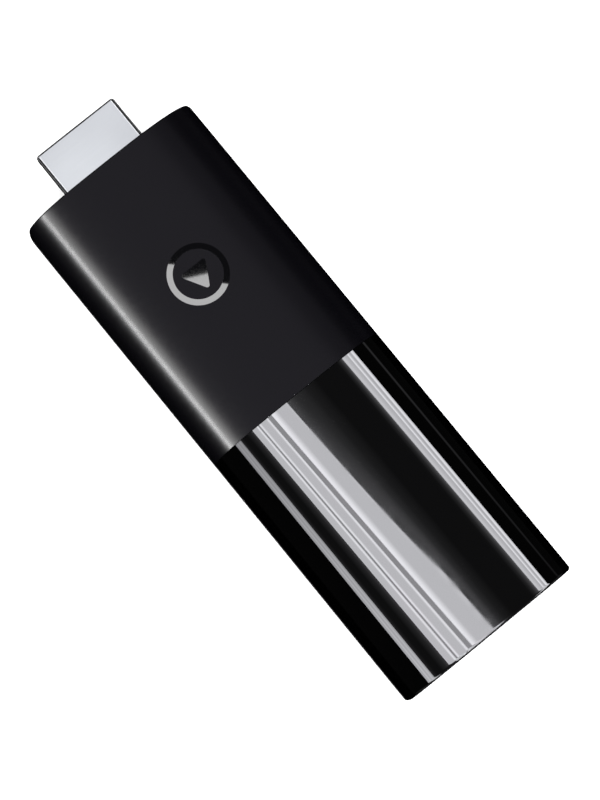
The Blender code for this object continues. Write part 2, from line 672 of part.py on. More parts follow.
def build_components(parent, finishes):
    epoxy, ferrite, tin = finishes["epoxy"], finishes["ferrite"], finishes["tin"]
    build_component("processor", SOC[0], *SOC[1], parent, epoxy)
    for i, side in enumerate((-1, 1)):
        x, y = MEMORY[1]
        build_component(f"memory_chip_{i + 1}", MEMORY[0], side * x, y, parent, epoxy)
    build_component("storage_chip", STORAGE[0], *STORAGE[1], parent, epoxy, under=True)
    build_component("power_chip", POWER_CHIP[0], *POWER_CHIP[1], parent, epoxy, under=True)
    for i, y in enumerate(REGULATOR[1][1]):
        build_component(f"buck_regulator_{i + 1}", REGULATOR[0], REGULATOR[1][0], y, parent, epoxy)
    for i, (x, y) in enumerate(INDUCTOR[1]):
        build_component(f"power_inductor_{i + 1}", INDUCTOR[0], x, y, parent, ferrite, rounding=0.5)
    for i, y in enumerate(BULK_CAPACITOR[1][1]):
        name = f"bulk_capacitor_{i + 1}"
        size, (x, _) = BULK_CAPACITOR
        build_component(name, size, x, y, parent, finishes["tantalum"], under=True)
    build_component("system_crystal", SYSTEM_CRYSTAL[0], *SYSTEM_CRYSTAL[1], parent, tin, True, 0.3)
    build_component("surge_array", SURGE_ARRAY[0], *SURGE_ARRAY[1], parent, epoxy, rounding=0.08)
    build_component("input_fuse", FUSE[0], *FUSE[1], parent, finishes["ceramic"], under=True, rounding=0.08)


def build_wireless_module(parent, finishes):
    """A small circuit board of its own, under a metal can."""
    size, (x, y) = WIRELESS
    width, length, height = size
    build_component("wireless_module", size, x, y, parent, finishes["board"], rounding=0.08)
    can_size = (width - WIRELESS_CAN_MARGIN, length - WIRELESS_CAN_MARGIN, WIRELESS_CAN_HEIGHT)
    can = build_component("wireless_module_can", can_size, x, y, parent, finishes["tin"], rounding=0.25)
    can.location.z += height * MM + GAP


def build_antennas(parent, finish):
    """Two stamped inverted-F strips, each on a feed leg and a ground leg."""
    foot = BOARD_TOP + GAP
    for i, side in enumerate((-1, 1)):
        name = f"antenna_{i + 1}"
        strip = block(name, (ANTENNA_LENGTH, ANTENNA_STRIP, ANTENNA_SHEET))
        place = (side * ANTENNA_X, ANTENNA_Y, foot + ANTENNA_HEIGHT)
        antenna = add_object(name, strip, parent, finish, place)
        for leg_name, shift in (("ground", 0.0), ("feed", ANTENNA_FEED_SHIFT)):
            leg_mesh = block(name, (ANTENNA_LEG, ANTENNA_SHEET, ANTENNA_HEIGHT + ANTENNA_SHEET / 2))
            x = place[0] - side * (ANTENNA_LENGTH / 2 - ANTENNA_LEG_INSET - shift)
            y = ANTENNA_Y + ANTENNA_STRIP / 2 - ANTENNA_SHEET
            combine(antenna, helper(f"{name}_{leg_name}_leg", leg_mesh, (x, y, foot)), "UNION")


def main():
    clear_scene()
    finishes = {
        "gloss": material("black_gloss_plastic", (0.008, 0.008, 0.009), 0.05),
        "matte": material("black_matte_plastic", (0.016, 0.016, 0.018), 0.45),
        "steel": material("nickel_plated_steel", (0.72, 0.73, 0.74), 0.28, 1.0),
        "gold": material("gold_plated_contact", (0.85, 0.62, 0.25), 0.3, 1.0),
        "insulator": material("black_insulator", (0.02, 0.02, 0.02), 0.5),
        "board": material("solder_mask", (0.01, 0.09, 0.05), 0.35),
        "epoxy": material("chip_epoxy", (0.025, 0.025, 0.027), 0.55),
        "ferrite": material("ferrite", (0.09, 0.09, 0.10), 0.6),
        "tin": material("tinned_sheet", (0.66, 0.66, 0.64), 0.35, 1.0),
        "pad": material("thermal_pad", (0.35, 0.42, 0.55), 0.8),
        "aluminium": material("aluminium_sheet", (0.78, 0.79, 0.80), 0.4, 1.0),
        "tantalum": material("tantalum_capacitor", (0.72, 0.42, 0.06), 0.5),
        "ceramic": material("ceramic_body", (0.8, 0.78, 0.72), 0.5),
        "clear": material("light_pipe_plastic", (0.8, 0.82, 0.84), 0.15),
        "lamp": material("led_package", (0.85, 0.82, 0.6), 0.3),
        "copper_alloy": material("antenna_metal", (0.80, 0.62, 0.38), 0.35, 1.0),
    }
    stick = assembly("media_player")
    housing = assembly("housing", stick)
    connectors = assembly("connectors", stick)
    electronics = assembly("electronics", stick)

    cavity = helper("housing_cavity", housing_cavity("housing_cavity"))
    plug_opening, socket_opening, pipe_opening = port_cutters()
    build_top_cover(housing, finishes["gloss"], cavity, (plug_opening, socket_opening, pipe_opening))
    build_bottom_cover(housing, finishes["matte"], cavity, (plug_opening, socket_opening))
    build_plug(connectors, finishes["steel"], finishes["insulator"])
    build_contacts(connectors, finishes["gold"])
    build_power_socket(connectors, finishes["steel"], finishes["insulator"])
    build_status_light(connectors, finishes["clear"], finishes["lamp"])
    build_board(electronics, finishes["board"])
    build_components(electronics, finishes)
    build_wireless_module(electronics, finishes)
    build_antennas(electronics, finishes["copper_alloy"])
    build_heat_path(electronics, finishes)
    build_screws(electronics, finishes["steel"])


main()
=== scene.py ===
"""The looks of the stick-shaped streaming media player: shells, finishes, studio and camera."""
import json
import math

import bmesh
import bpy
from mathutils import Matrix, Vector

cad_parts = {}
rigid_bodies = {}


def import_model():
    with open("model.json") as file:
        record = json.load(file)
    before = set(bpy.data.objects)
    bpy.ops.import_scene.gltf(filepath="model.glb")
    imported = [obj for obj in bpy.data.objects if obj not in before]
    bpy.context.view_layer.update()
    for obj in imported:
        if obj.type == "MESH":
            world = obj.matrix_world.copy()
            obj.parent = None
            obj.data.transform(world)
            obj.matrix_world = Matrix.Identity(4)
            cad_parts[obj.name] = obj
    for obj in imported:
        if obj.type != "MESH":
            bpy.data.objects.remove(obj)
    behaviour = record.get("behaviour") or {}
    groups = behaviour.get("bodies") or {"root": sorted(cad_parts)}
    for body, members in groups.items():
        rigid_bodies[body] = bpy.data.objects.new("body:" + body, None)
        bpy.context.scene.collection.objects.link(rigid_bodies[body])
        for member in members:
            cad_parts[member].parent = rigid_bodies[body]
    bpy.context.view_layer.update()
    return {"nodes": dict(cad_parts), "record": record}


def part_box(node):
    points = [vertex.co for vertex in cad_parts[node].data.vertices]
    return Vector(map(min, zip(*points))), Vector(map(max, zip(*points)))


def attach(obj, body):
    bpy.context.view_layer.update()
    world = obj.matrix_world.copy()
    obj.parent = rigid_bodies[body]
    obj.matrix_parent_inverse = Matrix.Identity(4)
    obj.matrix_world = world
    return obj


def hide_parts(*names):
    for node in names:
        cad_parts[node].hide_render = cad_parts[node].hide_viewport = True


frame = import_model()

MM = 0.001

# The housing, read from the frame
TOP_LOW, TOP_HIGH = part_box("top_cover")
BACK_LOW, BACK_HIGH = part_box("bottom_cover")
Y_TAIL, Y_NOSE = TOP_LOW[1], TOP_HIGH[1]
THICKNESS = TOP_HIGH[2]
Z_SPLIT = THICKNESS / 2
X_SIDE = (BACK_HIGH[0] - BACK_LOW[0]) / 2
FLOOR_HALF_WIDTH = 7.0 * MM
POWER = 3.0  # of the superellipse that both half sections follow
BODY_LENGTH = Y_NOSE - Y_TAIL
Y_FINISH = Y_NOSE - 0.4985 * BODY_LENGTH  # where matte meets gloss

# Moulding details of the shells
SKIN = 0.02 * MM  # the shells lie this far inside the frame, so that the printed mark fits on top
WALL = 1.4 * MM
END_WALL = 1.6 * MM
SEAM = 0.12 * MM
FINISH_LINE = 0.07 * MM
LIP_ROUNDING = 0.15 * MM
NOSE_CORNER = 1.0 * MM
TAIL_CORNER = 0.75 * MM
NOSE_EDGE = 0.2 * MM
TAIL_EDGE = 0.42 * MM
ROUNDING_STEPS = 10
ARC_STEPS = 180
OPENING_CLEARANCE = 0.12 * MM
LIP_WIDTH = 0.7 * MM
LIP_BELOW = 0.6 * MM
LIP_ABOVE = 0.3 * MM
LIP_CLEARANCE = 0.3 * MM
PLUG_OPENING = (4 * MM, 2 * MM)  # how far its cutter goes behind and before the nose
SIDE_OPENING = (4 * MM, 2 * MM)  # the same for the cutters in the side
LIP_OPENING = 6 * MM
SOCKET_STATIONS = 5.5 * MM  # stations of the loft on both sides of the socket
PIPE_STATION = 1.6 * MM  # and one past the light pipe
SAME = 1e-9

# Connectors, read from the frame
PLUG_LOW, PLUG_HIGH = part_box("video_plug_shell")
PLUG_WIDTH = 13.9 * MM
PLUG_HEIGHT = PLUG_HIGH[2] - PLUG_LOW[2]
PLUG_SHOULDER = 2.3 * MM
PLUG_TAPER = 1.6 * MM
PLUG_SHEET = 0.3 * MM
PLUG_BEND = 0.6 * MM
PLUG_LIP = (0.42 * MM, 0.03 * MM)
PLUG_TUBE_REAR = PLUG_HIGH[1] - 18.0 * MM
PLUG_JOINT = (0.04 * MM, 0.12 * MM)  # half width and depth of the line where the bent sheet meets
PLUG_EAR_X = (6.5 * MM, 7.5 * MM)
PLUG_EAR_OVERLAP = 0.6 * MM
EAR_Z = Z_SPLIT + 0.8 * MM  # foot of the solder ears and wings
EAR_THICKNESS = 0.3 * MM
SOCKET_LOW, SOCKET_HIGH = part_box("power_socket_shell")
SOCKET_WIDTH = 7.5 * MM
SOCKET_HEIGHT = SOCKET_HIGH[2] - SOCKET_LOW[2]
SOCKET_Y = (SOCKET_LOW[1] + SOCKET_HIGH[1]) / 2
SOCKET_TAPER = 0.9 * MM
SOCKET_SHEET = 0.3 * MM
SOCKET_BEND = 0.35 * MM
SOCKET_LIP = (0.25 * MM, 0.05 * MM)
SOCKET_WING_X = (0.6 * MM, 2.2 * MM)  # from the back of the shell
SOCKET_WING_Y = (3.55 * MM, 5.1 * MM)  # from its middle
LIP_STEPS = 6
BEND_STEPS = 5
SHEET_SHARP = 35  # degrees between faces of the bent sheets from which an edge stays sharp
POWER_CONTACTS = 5
POWER_PITCH = 0.65 * MM
POWER_CONTACT_HALF = 0.15 * MM
POWER_CONTACT_ENDS = (1.3 * MM, 0.25 * MM)  # from the tongue's back and from its front
POWER_CONTACT_Z = (Z_SPLIT - 0.06 * MM, Z_SPLIT - 0.005 * MM)
PIPE_LOW, PIPE_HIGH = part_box("light_pipe")
PIPE_Y = (PIPE_LOW[1] + PIPE_HIGH[1]) / 2
PIPE_Z = (PIPE_LOW[2] + PIPE_HIGH[2]) / 2
PIPE_BORE = 0.72 * MM

# The mark: a triangle in a ring, a plain sign for playing
MARK_Y = Y_NOSE - 0.243 * BODY_LENGTH
MARK_RADIUS = 4.4 * MM
MARK_RING = 0.85 * MM
MARK_TRIANGLE = 2.3 * MM
MARK_CORNER = 0.35 * MM
MARK_STEPS = 96  # round the ring
CORNER_STEPS = 8  # round each corner of the triangle
MARK_FOIL = 0.018 * MM

# Camera
CAMERA_AT = Vector((-29.14, -38.57, 381.9)) * MM
CAMERA_AIM = Vector((0.44, -3.99, 7.6)) * MM
CAMERA_ROLL = math.radians(39.13)
CAMERA_LENS = 120.65
CAMERA_SENSOR = 36.0
CAMERA_CLIP = 0.01

# Studio: strip lights lie on a half cylinder over the stick, at angles from straight up
STUDIO_RADIUS = 0.8
PANEL_RADIUS = 0.6  # the panels hang nearer than the strips, which would hide them
STRIP_FRONT, STRIP_REAR = 0.063, -0.056  # where along Y the two angles of a strip's edge are given
STRIP_BOW = -0.028
STRIP_KINK = 0.25  # beyond this along Y the edges run straight on
STRIP_END = 1.2
STRIP_FADE = (-0.075, 0.075)  # where along Y a strip's light changes
STRIP_TONE = (1.0, 1.0, 1.05)
STRIP_STEPS = 8
FULL = 20.0  # radiance that a ramp value of 1 stands for
FACE, RIM, FRAME, DIM = 11.7 / FULL, 19.5 / FULL, 5.6 / FULL, 0.105 / FULL

FLOOR_HALF = 1.2
FLOOR_DROP = 0.05 * MM
FLOOR_RADIANCE = 5.0

# The room that reflections see: radiances, and limits given as parts of the direction's Y or Z
ROOM_DIM = 0.025
ROOM_BAND = 0.45
BAND_SIDES = (0.30, 0.60)
BAND_ABOVE = (0.10, 0.42)
BAND_BELOW = (-0.45, -0.10)
BAND_DEEP = 0.1  # what is left of the band under BAND_BELOW
BAND_AHEAD = (0.86, 0.97)
BAND_HORIZON = (-0.10, 0.0)

PLASTIC_IOR = 1.5

made_objects = []


# ---------- meshes ----------

def new_object(name, mesh_data):
    made = bpy.data.objects.new(name, mesh_data)
    bpy.context.scene.collection.objects.link(made)
    return made


def mesh_from(name, vertices, faces):
    mesh_data = bpy.data.meshes.new(name)
    mesh_data.from_pydata(vertices, [], faces)
    shape = bmesh.new()
    shape.from_mesh(mesh_data)
    bmesh.ops.recalc_face_normals(shape, faces=shape.faces)
    shape.to_mesh(mesh_data)
    shape.free()
    return mesh_data


def loft(name, rings):
    """A closed solid through rings of points, capped at both ends."""
    count = len(rings[0])
    vertices = [point for ring in rings for point in ring]
    faces = [tuple(range(count)), tuple(range(len(vertices) - count, len(vertices)))]
    for row in range(len(rings) - 1):
        for i in range(count):
            j = (i + 1) % count
            a, b = row * count, (row + 1) * count
            faces.append((a + i, a + j, b + j, b + i))
    return mesh_from(name, vertices, faces)


def closed_band(name, rings):
    """A closed solid through rings of points whose last ring joins the first, like a tube's wall."""
    count = len(rings[0])
    vertices = [point for ring in rings for point in ring]
    faces = []
    for row in range(len(rings)):
        for i in range(count):
            j = (i + 1) % count
            a, b = row * count, (row + 1) % len(rings) * count
            faces.append((a + i, a + j, b + j, b + i))
    return mesh_from(name, vertices, faces)


def cut(target, *cutters, operation="DIFFERENCE"):
    """Booleans, applied at once, so that shading is set on the final mesh."""
    for cutter in cutters:
        modifier = target.modifiers.new("cut", "BOOLEAN")
        modifier.operation = operation
        modifier.solver = "EXACT"
        modifier.object = cutter
    bpy.context.view_layer.update()
    evaluated = target.evaluated_get(bpy.context.evaluated_depsgraph_get())
    result = bpy.data.meshes.new_from_object(evaluated)
    target.modifiers.clear()
    target.data = result
    for cutter in cutters:
        bpy.data.objects.remove(cutter, do_unlink=True)


def smooth(target, angle=30):
    target.data.shade_smooth()
    target.data.set_sharp_from_angle(angle=math.radians(angle))
    return target


def round_edges(target, width):
    modifier = target.modifiers.new("edge_rounding", "BEVEL")
    modifier.width = width
    modifier.segments = 2
    modifier.limit_method = "ANGLE"
    modifier.angle_limit = math.radians(40)
    modifier.harden_normals = True


def finish_piece(target, name, finish, nodes=()):
    target.name = name
    target.data.materials.clear()
    target.data.materials.append(finish)
    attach(target, "root")
    if nodes:
        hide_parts(*nodes)
    made_objects.append(target)


# ---------- housing ----------

def quarter_rounding(radius, depth):
    if depth >= radius:
        return 0.0
    return radius - math.sqrt(radius**2 - (radius - depth) ** 2)


def half_arc(upper, inset, side, edge, lip):
    """Points (x, z) of one half section, from +X over the crown or under the belly to -X. Near an end
    the section shrinks by edge, and the corners of the plan cut its sides back by side. With lip the
    edge at the seam is rounded."""
    widest = X_SIDE - inset - side
    half_width = X_SIDE - inset - edge
    rise = Z_SPLIT - inset - edge
    flat = 0.0 if upper else FLOOR_HALF_WIDTH
    curved = half_width - flat
    sign = 1 if upper else -1
    quarter = []
    for step in range(ROUNDING_STEPS):
        depth = LIP_ROUNDING * step / ROUNDING_STEPS
        drawn_in = quarter_rounding(LIP_ROUNDING, depth) if lip else 0.0
        height = SEAM / 2 + depth
        across = (1 - (height / rise) ** POWER) ** (1 / POWER)
        quarter.append((min(flat + curved * across, widest) - drawn_in, height))
    start = math.asin((1 - ((SEAM / 2 + LIP_ROUNDING) / rise) ** POWER) ** (1 / POWER))
    steps = ARC_STEPS // 2
    for step in range(steps + 1):
        angle = start * (1 - step / steps)
        across = math.sin(angle)
        quarter.append((min(flat + curved * across, widest), rise * (1 - across**POWER) ** (1 / POWER)))
    mirrored = [(-x, z) for x, z in reversed(quarter)]
    if upper:
        mirrored = mirrored[1:]  # both quarters share the middle of the crown
    return [(x, Z_SPLIT + sign * z) for x, z in quarter + mirrored]


def shell_stations(end, boundary, extra=()):
    """(y, how far the sides are drawn in, how far the edges are) from the closed end inwards."""
    at_tail = boundary > end
    inwards, corner, fillet = (1, TAIL_CORNER, TAIL_EDGE) if at_tail else (-1, NOSE_CORNER, NOSE_EDGE)
    quarter = [1 - math.cos(math.pi / 2 * step / ROUNDING_STEPS) for step in range(ROUNDING_STEPS + 1)]
    depths = [fillet * part for part in quarter]
    depths += [corner * part for part in quarter if corner * part > fillet]
    rows = []
    for depth in depths:
        side = quarter_rounding(corner, depth)
        edge = quarter_rounding(fillet, depth)
        rows.append((end + inwards * (depth + SKIN), side, edge))
    rows.append((end + inwards * END_WALL, 0.0, 0.0))
    rows += [(y, 0.0, 0.0) for y in sorted(extra, reverse=inwards < 0)]
    rows.append((boundary, 0.0, 0.0))
    return rows


def half_shell(name, upper, end, boundary, extra=()):
    """One quarter of the housing: a closed end, and open where the two finishes meet."""
    outer_rows = shell_stations(end, boundary, extra)
    inner_rows = [row for row in outer_rows if abs(row[0] - end) >= END_WALL - SAME]
    outer = [[(x, y, z) for x, z in half_arc(upper, SKIN, s, e, True)] for y, s, e in outer_rows]
    inner = [[(x, y, z) for x, z in half_arc(upper, WALL, 0, 0, False)] for y, _, _ in inner_rows]
    count = len(outer[0])
    vertices = [p for ring in outer + inner for p in ring]

    def outer_at(row, i):
        return row * count + i % count

    def inner_at(row, i):
        return (len(outer) + row) * count + i % count

    faces = []
    for rows, at in ((len(outer), outer_at), (len(inner), inner_at)):
        for row in range(rows - 1):
            for i in range(count - 1):
                faces.append((at(row, i), at(row, i + 1), at(row + 1, i + 1), at(row + 1, i)))
    last_outer, last_inner = len(outer) - 1, len(inner) - 1
    faces.append(tuple(outer_at(0, i) for i in range(count)))
    faces.append(tuple(inner_at(0, i) for i in range(count)))
    rim = [outer_at(last_outer, i) for i in range(count)]
    faces.append(tuple(rim + [inner_at(last_inner, i) for i in reversed(range(count))]))
    parting = [outer_at(row, 0) for row in range(len(outer))]
    parting += [inner_at(row, 0) for row in reversed(range(len(inner)))]
    parting += [inner_at(row, count - 1) for row in range(len(inner))]
    parting += [outer_at(row, count - 1) for row in reversed(range(len(outer)))]
    faces.append(tuple(parting))
    return new_object(name, mesh_from(name, vertices, faces))


def connector_outline(width, height, shoulder, taper, bend, inset):
    """A connector's outline with its corners bent to a radius; inset draws it inwards."""
    w, h = width / 2, height / 2
    turn = h - shoulder
    corners = [(w, turn), (w, h), (-w, h), (-w, turn), (-(w - taper), -h), (w - taper, -h)]
    points = []
    for i, corner in enumerate(corners):
        here = Vector(corner)
        back = (Vector(corners[i - 1]) - here).normalized()
        ahead = (Vector(corners[(i + 1) % len(corners)]) - here).normalized()
        half = back.angle(ahead) / 2
        centre = here + (back + ahead).normalized() * bend / math.sin(half)
        start = here + back * bend / math.tan(half) - centre
        stop = here + ahead * bend / math.tan(half) - centre
        sweep = start.angle_signed(stop)
        radius = bend - inset
        base = math.atan2(start.y, start.x)
        for step in range(BEND_STEPS + 1):
            angle = base - sweep * step / BEND_STEPS
            points.append((centre.x + radius * math.cos(angle), centre.y + radius * math.sin(angle)))
    return points


def plug_outline(inset):
    return connector_outline(PLUG_WIDTH, PLUG_HEIGHT, PLUG_SHOULDER, PLUG_TAPER, PLUG_BEND, inset)


def socket_outline(inset):
    height = SOCKET_HEIGHT
    return connector_outline(SOCKET_WIDTH, height, height / 2, SOCKET_TAPER, SOCKET_BEND, inset)


def prism_y(name, outline, low, high, z):
    return new_object(name, loft(name, [[(u, y, z + v) for u, v in outline] for y in (low, high)]))


def prism_x(name, outline, low, high, y, z):
    return new_object(name, loft(name, [[(x, y + u, z + v) for u, v in outline] for x in (low, high)]))


def circle(radius, steps=32):
    turns = [2 * math.pi * step / steps for step in range(steps)]
    return [(radius * math.cos(turn), radius * math.sin(turn)) for turn in turns]


def build_housing(finishes):
    plug_open = plug_outline(-OPENING_CLEARANCE)
    socket_open = socket_outline(-OPENING_CLEARANCE)
    beside = [SOCKET_Y - SOCKET_STATIONS, SOCKET_Y + SOCKET_STATIONS, PIPE_Y + PIPE_STATION]
    plug_ends = (Y_NOSE - PLUG_OPENING[0], Y_NOSE + PLUG_OPENING[1])
    side_ends = (X_SIDE - SIDE_OPENING[0], X_SIDE + SIDE_OPENING[1])
    line = FINISH_LINE / 2
    for upper, word, node in ((True, "top", "top_cover"), (False, "bottom", "bottom_cover")):
        matte = half_shell(f"{word}_matte", upper, Y_NOSE, Y_FINISH + line)
        cut(matte, prism_y("opening", plug_open, *plug_ends, Z_SPLIT))
        finish_piece(smooth(matte), f"{word}_cover_matte", finishes["matte"], (node,))
        gloss = half_shell(f"{word}_gloss", upper, Y_TAIL, Y_FINISH - line, beside)
        cutters = [prism_x("opening", socket_open, *side_ends, SOCKET_Y, Z_SPLIT)]
        if upper:
            cutters.append(prism_x("bore", circle(PIPE_BORE), *side_ends, PIPE_Y, PIPE_Z))
        cut(gloss, *cutters)
        finish_piece(smooth(gloss), f"{word}_cover_gloss", finishes["gloss"], (node,))


def build_seam_lip(finishes):
    """The rib inside the parting line, which closes the seam to the eye."""
    low, high = Z_SPLIT - LIP_BELOW, Z_SPLIT + LIP_ABOVE
    outer_x = X_SIDE - WALL - SKIN
    outer_y = (Y_TAIL + END_WALL + SKIN, Y_NOSE - END_WALL - SKIN)
    rings = []
    for pull, heights in ((0.0, (low, high)), (LIP_WIDTH, (high, low))):
        x, y0, y1 = outer_x - pull, outer_y[0] + pull, outer_y[1] - pull
        for z in heights:
            rings.append([(x, y0, z), (x, y1, z), (-x, y1, z), (-x, y0, z)])
    lip = new_object("lip", closed_band("lip", rings))
    plug_way = prism_y("plug_way", plug_outline(-LIP_CLEARANCE), Y_NOSE - LIP_OPENING, Y_NOSE, Z_SPLIT)
    socket_way = prism_x("socket_way", socket_outline(-LIP_CLEARANCE), X_SIDE - LIP_OPENING, X_SIDE,
                         SOCKET_Y, Z_SPLIT)
    cut(lip, plug_way, socket_way)
    finish_piece(lip, "seam_lip", finishes["matte"])


# ---------- connectors ----------

def tube(name, outline_at, sheet, ends, place, rolled):
    """A bent-sheet tube along an axis. Its front lip is drawn in on an arc of the first radius in
    rolled, and rounded to the inside with the second."""
    rear, front = ends
    outside, inside = rolled
    turn = math.acos(1 - (sheet - inside) / outside)
    rows = [(rear, 0.0)]
    for step in range(LIP_STEPS + 1):
        angle = turn * step / LIP_STEPS
        back = outside * (math.sin(turn) - math.sin(angle))
        rows.append((front - back, outside * (1 - math.cos(angle))))
    for step in range(1, LIP_STEPS + 1):
        angle = math.pi / 2 * step / LIP_STEPS
        back = inside * (1 - math.cos(angle))
        rows.append((front - back, sheet - inside * (1 - math.sin(angle))))
    rows.append((rear, sheet))
    rings = [[place(along, u, v) for u, v in outline_at(inset)] for along, inset in rows]
    return new_object(name, closed_band(name, rings))


def block(name, low, high):
    (x0, y0, z0), (x1, y1, z1) = low, high
    base = [(x0, y0), (x1, y0), (x1, y1), (x0, y1)]
    return new_object(name, loft(name, [[(x, y, z) for x, y in base] for z in (z0, z1)]))


def build_plug(finishes):
    shell = tube("plug", plug_outline, PLUG_SHEET, (PLUG_TUBE_REAR, PLUG_HIGH[1]),
                 lambda y, u, v: (u, y, Z_SPLIT + v), PLUG_LIP)
    half_width, depth = PLUG_JOINT
    under = PLUG_LOW[2]
    seam = block("seam", (-half_width, PLUG_TUBE_REAR - MM, under - MM),
                 (half_width, PLUG_HIGH[1] + MM, under + depth))
    cut(shell, seam)
    ears = []
    for side in (-1, 1):
        xs = sorted(side * x for x in PLUG_EAR_X)
        ears.append(block("ear", (xs[0], PLUG_LOW[1], EAR_Z),
                          (xs[1], PLUG_TUBE_REAR + PLUG_EAR_OVERLAP, EAR_Z + EAR_THICKNESS)))
    cut(shell, *ears, operation="UNION")
    smooth(shell, SHEET_SHARP)
    finish_piece(shell, "plug_shell", finishes["plug"], ("video_plug_shell",))


def build_socket(finishes):
    back, mouth = SOCKET_LOW[0], SOCKET_HIGH[0]
    shell = tube("socket", socket_outline, SOCKET_SHEET, (back, mouth),
                 lambda x, u, v: (x, SOCKET_Y + u, Z_SPLIT + v), SOCKET_LIP)
    wings = []
    for side in (-1, 1):
        ys = sorted(SOCKET_Y + side * y for y in SOCKET_WING_Y)
        wings.append(block("wing", (back + SOCKET_WING_X[0], ys[0], EAR_Z),
                           (back + SOCKET_WING_X[1], ys[1], EAR_Z + EAR_THICKNESS)))
    cut(shell, *wings, operation="UNION")
    smooth(shell, SHEET_SHARP)
    finish_piece(shell, "power_socket", finishes["socket"], ("power_socket_shell",))

    tongue_low, tongue_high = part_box("power_socket_tongue")
    rear_gap, front_gap = POWER_CONTACT_ENDS
    low_z, high_z = POWER_CONTACT_Z
    for i in range(POWER_CONTACTS):
        name = f"power_contact_{i + 1}"
        y = SOCKET_Y + (i - (POWER_CONTACTS - 1) / 2) * POWER_PITCH
        contact = block(name, (tongue_low[0] + rear_gap, y - POWER_CONTACT_HALF, low_z),
                        (tongue_high[0] - front_gap, y + POWER_CONTACT_HALF, high_z))
        finish_piece(contact, name, finishes["gold"])


# ---------- mark ----------

def crown(x):
    return Z_SPLIT + Z_SPLIT * (1 - abs(x / X_SIDE) ** POWER) ** (1 / POWER)


def foil(name, outline, hole=None):
    """A thin flat figure laid on the crown; the hole has as many points as the outline."""
    count = len(outline)
    rows = []
    for drop in (0.0, MARK_FOIL):
        for figure in (outline, hole) if hole else (outline,):
            rows.append([(x, MARK_Y + y, crown(x) - drop) for x, y in figure])
    vertices = [point for row in rows for point in row]
    faces = []
    for i in range(count):
        j = (i + 1) % count
        if hole:
            for a, b in ((0, 1), (2, 3), (0, 2), (1, 3)):
                faces.append((a * count + i, a * count + j, b * count + j, b * count + i))
        else:
            faces.append((i, j, count + j, count + i))
    if not hole:
        faces += [tuple(range(count)), tuple(range(count, 2 * count))]
    return new_object(name, mesh_from(name, vertices, faces))


def build_mark(finishes):
    ring = foil("ring", circle(MARK_RADIUS, MARK_STEPS), circle(MARK_RADIUS - MARK_RING, MARK_STEPS))
    reach = MARK_TRIANGLE - MARK_CORNER
    triangle = []
    for i in range(3):
        direction = math.radians(-90 + 120 * i)
        for step in range(CORNER_STEPS + 1):
            angle = direction + math.radians(-60 + 120 * step / CORNER_STEPS)
            triangle.append((reach * math.cos(direction) + MARK_CORNER * math.cos(angle),
                             reach * math.sin(direction) + MARK_CORNER * math.sin(angle)))
    arrow = foil("triangle", triangle)
    for piece, name in ((ring, "mark_ring"), (arrow, "mark_triangle")):
        finish_piece(smooth(piece), name, finishes["foil"])


# ---------- finishes ----------

def principled(name, colour, roughness, metallic=0.0):
    made = bpy.data.materials.new(name)
    made.use_nodes = True
    shader = made.node_tree.nodes["Principled BSDF"]
    shader.inputs["Base Color"].default_value = (*colour, 1.0)
    shader.inputs["Roughness"].default_value = roughness
    shader.inputs["Metallic"].default_value = metallic
    shader.inputs["IOR"].default_value = PLASTIC_IOR
    made.diffuse_color = (*colour, 1.0)
    return made


def noise(made, scale, detail=3.0, stretch=(1, 1, 1)):
    """A noise texture fixed to the object, in cycles per metre, that can be drawn out along an axis."""
    tree = made.node_tree
    place = tree.nodes.new("ShaderNodeTexCoord")
    mapping = tree.nodes.new("ShaderNodeMapping")
    mapping.inputs["Scale"].default_value = stretch
    texture = tree.nodes.new("ShaderNodeTexNoise")
    texture.inputs["Scale"].default_value = scale
    texture.inputs["Detail"].default_value = detail
    tree.links.new(place.outputs["Object"], mapping.inputs["Vector"])
    tree.links.new(mapping.outputs["Vector"], texture.inputs["Vector"])
    return texture.outputs["Fac"]


def spread(made, source, low, high, socket):
    """Lets a texture move a shader input between two values."""
    tree = made.node_tree
    change = tree.nodes.new("ShaderNodeMapRange")
    change.inputs["From Min"].default_value = 0.3
    change.inputs["From Max"].default_value = 0.7
    change.inputs["To Min"].default_value = low
    change.inputs["To Max"].default_value = high
    tree.links.new(source, change.inputs["Value"])
    tree.links.new(change.outputs["Result"], tree.nodes["Principled BSDF"].inputs[socket])


def tint(made, source, dark, light):
    """Lets a texture move the base colour between two colours."""
    tree = made.node_tree
    ramp = tree.nodes.new("ShaderNodeValToRGB")
    ramp.color_ramp.elements[0].position = 0.35
    ramp.color_ramp.elements[1].position = 0.65
    ramp.color_ramp.elements[0].color = (*dark, 1.0)
    ramp.color_ramp.elements[1].color = (*light, 1.0)
    tree.links.new(source, ramp.inputs["Fac"])
    tree.links.new(ramp.outputs["Color"], tree.nodes["Principled BSDF"].inputs["Base Color"])


def bump(made, source, distance, strength):
    tree = made.node_tree
    relief = tree.nodes.new("ShaderNodeBump")
    relief.inputs["Distance"].default_value = distance
    relief.inputs["Strength"].default_value = strength
    tree.links.new(source, relief.inputs["Height"])
    tree.links.new(relief.outputs["Normal"], tree.nodes["Principled BSDF"].inputs["Normal"])


def grained(name, colour, roughness, metallic=0.0, scale=4000.0, stretch=(1, 1, 1), depth=0.004,
            swing=0.2):
    """The pattern of most small pieces: a grain that shifts colour, roughness and relief together.
    depth is in millimetres, swing is the part by which the colour changes."""
    made = principled(name, colour, roughness, metallic)
    source = noise(made, scale, 3.0, stretch)
    tint(made, source, [c * (1 - swing) for c in colour], [min(c * (1 + swing), 1.0) for c in colour])
    spread(made, source, roughness * 0.85, min(roughness * 1.15, 1.0), "Roughness")
    bump(made, source, depth * MM, 0.4)
    return made


